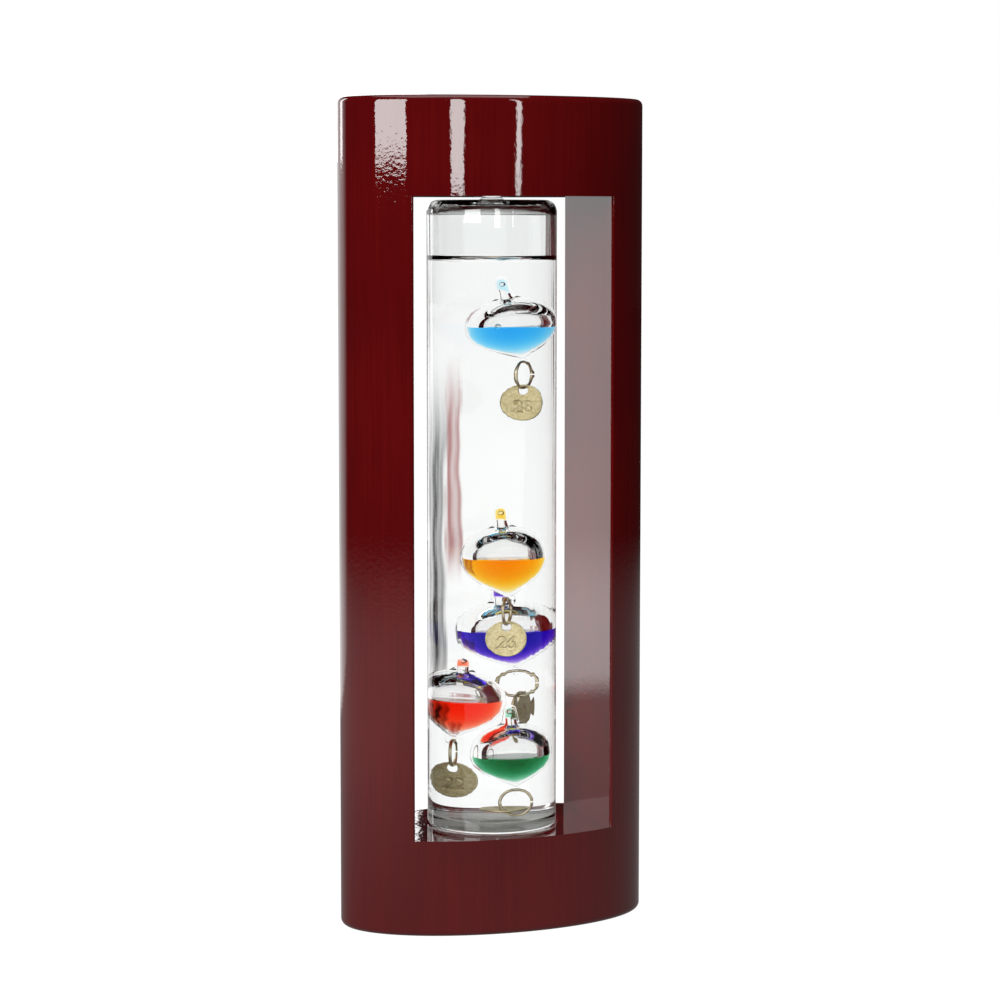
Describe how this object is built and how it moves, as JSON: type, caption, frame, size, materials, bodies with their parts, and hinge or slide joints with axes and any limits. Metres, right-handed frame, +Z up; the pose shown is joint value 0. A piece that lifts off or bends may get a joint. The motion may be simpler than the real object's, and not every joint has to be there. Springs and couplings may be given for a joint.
{
  "type": "galileo thermometer",
  "caption": "Sealed glass tube of clear liquid with coloured glass floats and metal weight tags, standing in a glossy wooden frame of oval plan.",
  "frame": {"origin": "centre of the bounding box at the level of the table", "axes": "+Z up along the tube, +X along the long axis of the oval frame, -Y the front"},
  "size_m": [0.088, 0.049, 0.23],
  "materials": {
    "lacquered_wood": "gloss lacquer over cherry-red stain",
    "dowel_wood": "bare beech",
    "felt": "pressed felt",
    "clear_pad": "clear silicone rubber",
    "tube_glass": "clear drawn glass, fire polished",
    "clear_liquid": "clear hydrocarbon liquid",
    "float_glass": "clear blown glass",
    "light_blue_dye": "light blue liquid",
    "yellow_dye": "amber liquid",
    "dark_blue_dye": "indigo liquid",
    "red_dye": "red liquid",
    "green_dye": "green liquid",
    "ring_wire": "bright plated wire",
    "tag_metal": "stamped pale gold sheet"
  },
  "bodies": {
    "frame": {"base_block": "lacquered_wood", "top_block": "lacquered_wood", "left_stile": "lacquered_wood", "right_stile": "lacquered_wood", "frame_dowels": "dowel_wood", "base_felt_pad": "felt", "tube_seat_pad": "clear_pad", "tip_grommet": "clear_pad", "glass_tube": "tube_glass", "clear_liquid": "clear_liquid"},
    "light_blue_float": {"light_blue_bulb": "float_glass", "light_blue_dye": "light_blue_dye"},
    "light_blue_hook_ring": {"light_blue_ring": "ring_wire"},
    "light_blue_weight_tag": {"light_blue_tag": "tag_metal"},
    "yellow_float": {"yellow_bulb": "float_glass", "yellow_dye": "yellow_dye"},
    "yellow_hook_ring": {"yellow_ring": "ring_wire"},
    "yellow_weight_tag": {"yellow_tag": "tag_metal"},
    "dark_blue_float": {"dark_blue_bulb": "float_glass", "dark_blue_dye": "dark_blue_dye"},
    "dark_blue_hook_ring": {"dark_blue_ring": "ring_wire"},
    "dark_blue_weight_tag": {"dark_blue_tag": "tag_metal"},
    "red_float": {"red_bulb": "float_glass", "red_dye": "red_dye"},
    "red_hook_ring": {"red_ring": "ring_wire"},
    "red_weight_tag": {"red_tag": "tag_metal"},
    "green_float": {"green_bulb": "float_glass", "green_dye": "green_dye"},
    "green_hook_ring": {"green_ring": "ring_wire"},
    "green_weight_tag": {"green_tag": "tag_metal"}
  },
  "joints": [
    {"name": "light_blue_float_rise", "type": "slide", "parent": "frame", "child": "light_blue_float", "axis": [0, 0, 1], "range_m": [-0.011, 0.003], "deforming": ["clear_liquid"]},
    {"name": "light_blue_ring_swing", "type": "hinge", "parent": "light_blue_float", "child": "light_blue_hook_ring", "pos_m": [0.00565, -0.00288, 0.15639], "axis": [-0.788, 0.6157, 0], "range_deg": [-30, 30], "deforming": ["clear_liquid"]},
    {"name": "light_blue_tag_swing", "type": "hinge", "parent": "light_blue_hook_ring", "child": "light_blue_weight_tag", "pos_m": [0.00565, -0.00288, 0.15007], "axis": [0.6157, 0.788, 0], "range_deg": [-30, 30], "deforming": ["clear_liquid"]},
    {"name": "yellow_float_rise", "type": "slide", "parent": "frame", "child": "yellow_float", "axis": [0, 0, 1], "range_m": [0, 0.011], "deforming": ["clear_liquid"]},
    {"name": "yellow_ring_swing", "type": "hinge", "parent": "yellow_float", "child": "yellow_hook_ring", "pos_m": [0.00165, -0.00655, 0.09015], "axis": [-0.866, 0.5, 0], "range_deg": [-3, 5], "deforming": ["clear_liquid"]},
    {"name": "yellow_tag_swing", "type": "hinge", "parent": "yellow_hook_ring", "child": "yellow_weight_tag", "pos_m": [0.00068, -0.00823, 0.08466], "axis": [0.5, 0.866, 0], "range_deg": [-20, 20], "deforming": ["clear_liquid"]},
    {"name": "dark_blue_float_rise", "type": "slide", "parent": "frame", "child": "dark_blue_float", "axis": [0, 0, 1], "range_m": [0, 0.00825], "deforming": ["clear_liquid"]},
    {"name": "dark_blue_ring_swing", "type": "hinge", "parent": "dark_blue_float", "child": "dark_blue_hook_ring", "pos_m": [0.00577, 0.00366, 0.06935], "axis": [0.5, 0.866, 0], "range_deg": [-10, 2], "deforming": ["clear_liquid"]},
    {"name": "dark_blue_tag_swing", "type": "hinge", "parent": "dark_blue_hook_ring", "child": "dark_blue_weight_tag", "pos_m": [0.00597, 0.00354, 0.06304], "axis": [0.866, -0.5, 0], "range_deg": [-5, 20], "deforming": ["clear_liquid"]},
    {"name": "red_float_rise", "type": "slide", "parent": "frame", "child": "red_float", "axis": [0, 0, 1], "range_m": [0, 0.00495], "deforming": ["clear_liquid"]},
    {"name": "red_ring_swing", "type": "hinge", "parent": "red_float", "child": "red_hook_ring", "pos_m": [-0.00665, 0.00366, 0.04996], "axis": [-0.7431, 0.6691, 0], "range_deg": [-20, 20], "deforming": ["clear_liquid"]},
    {"name": "red_tag_swing", "type": "hinge", "parent": "red_hook_ring", "child": "red_weight_tag", "pos_m": [-0.00665, 0.00366, 0.04365], "axis": [0.6691, 0.7431, 0], "range_deg": [-15, 15], "deforming": ["clear_liquid"]},
    {"name": "green_float_rise", "type": "slide", "parent": "frame", "child": "green_float", "axis": [0, 0, 1], "range_m": [0, 0.00275], "deforming": ["clear_liquid"]},
    {"name": "green_ring_swing", "type": "hinge", "parent": "green_float", "child": "green_hook_ring", "pos_m": [0.00355, -0.00585, 0.03673], "axis": [0.342, 0.9397, 0], "range_deg": [-5, 5], "deforming": ["clear_liquid"]},
    {"name": "green_tag_swing", "type": "hinge", "parent": "green_hook_ring", "child": "green_weight_tag", "pos_m": [0.00094, -0.0049, 0.0317], "axis": [0.9397, -0.342, 0], "range_deg": [-4, 25], "deforming": ["clear_liquid"]}
  ],
  "couplings": [
    {"joint": "dark_blue_float_rise", "follows": "yellow_float_rise", "ratio": 0.75},
    {"joint": "red_float_rise", "follows": "yellow_float_rise", "ratio": 0.45},
    {"joint": "green_float_rise", "follows": "yellow_float_rise", "ratio": 0.25}
  ]
}
